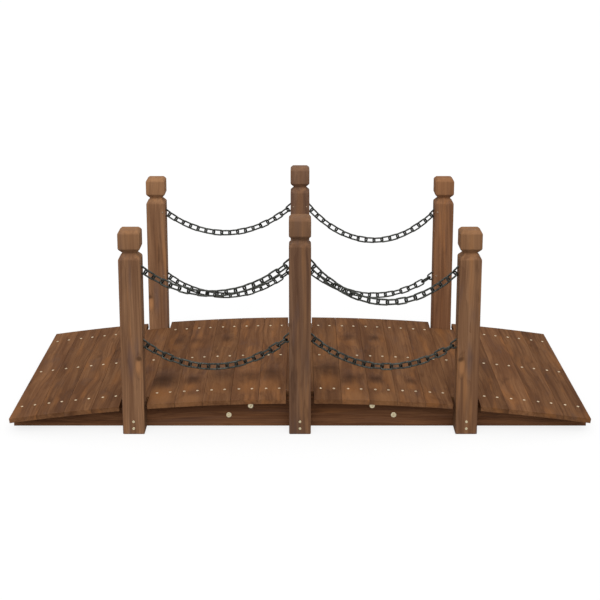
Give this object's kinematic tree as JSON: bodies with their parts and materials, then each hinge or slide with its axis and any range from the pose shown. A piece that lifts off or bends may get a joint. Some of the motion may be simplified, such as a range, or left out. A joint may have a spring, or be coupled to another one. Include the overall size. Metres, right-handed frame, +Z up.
{
  "type": "garden bridge",
  "caption": "Low arched wooden garden footbridge: crosswise deck boards on arched stringers, square posts with grooved heads, and chain railings along both sides.",
  "frame": {"origin": "on the ground under the middle of the deck", "axes": "+X along the bridge, the way one walks over it; +Y across it; +Z up"},
  "size_m": [1.5, 0.67, 0.574],
  "materials": {
    "deck_wood": "brown stain, satin",
    "post_wood": "brown stain, satin",
    "stringer_wood": "brown stain, satin",
    "chain_iron": "black, satin",
    "screw_steel": "zinc plated"
  },
  "bodies": {
    "root": {"deck_board_01": "deck_wood", "deck_board_02": "deck_wood", "deck_board_03": "deck_wood", "deck_board_04": "deck_wood", "deck_board_05": "deck_wood", "deck_board_06": "deck_wood", "deck_board_07": "deck_wood", "deck_board_08": "deck_wood", "deck_board_09": "deck_wood", "deck_board_10": "deck_wood", "deck_board_11": "deck_wood", "deck_board_12": "deck_wood", "deck_board_13": "deck_wood", "deck_board_14": "deck_wood", "deck_board_15": "deck_wood", "deck_board_16": "deck_wood", "deck_board_17": "deck_wood", "deck_board_18": "deck_wood", "deck_board_19": "deck_wood", "deck_board_20": "deck_wood", "deck_board_21": "deck_wood", "front_stringer": "stringer_wood", "middle_stringer": "stringer_wood", "back_stringer": "stringer_wood", "front_left_post": "post_wood", "front_middle_post": "post_wood", "front_right_post": "post_wood", "back_left_post": "post_wood", "back_middle_post": "post_wood", "back_right_post": "post_wood", "front_left_chain_pins": "screw_steel", "front_middle_chain_pins": "screw_steel", "front_right_chain_pins": "screw_steel", "back_left_chain_pins": "screw_steel", "back_middle_chain_pins": "screw_steel", "back_right_chain_pins": "screw_steel", "front_left_upper_chain": "chain_iron", "front_left_lower_chain": "chain_iron", "front_right_upper_chain": "chain_iron", "front_right_lower_chain": "chain_iron", "back_left_upper_chain": "chain_iron", "back_left_lower_chain": "chain_iron", "back_right_upper_chain": "chain_iron", "back_right_lower_chain": "chain_iron"}
  },
  "joints": []
}
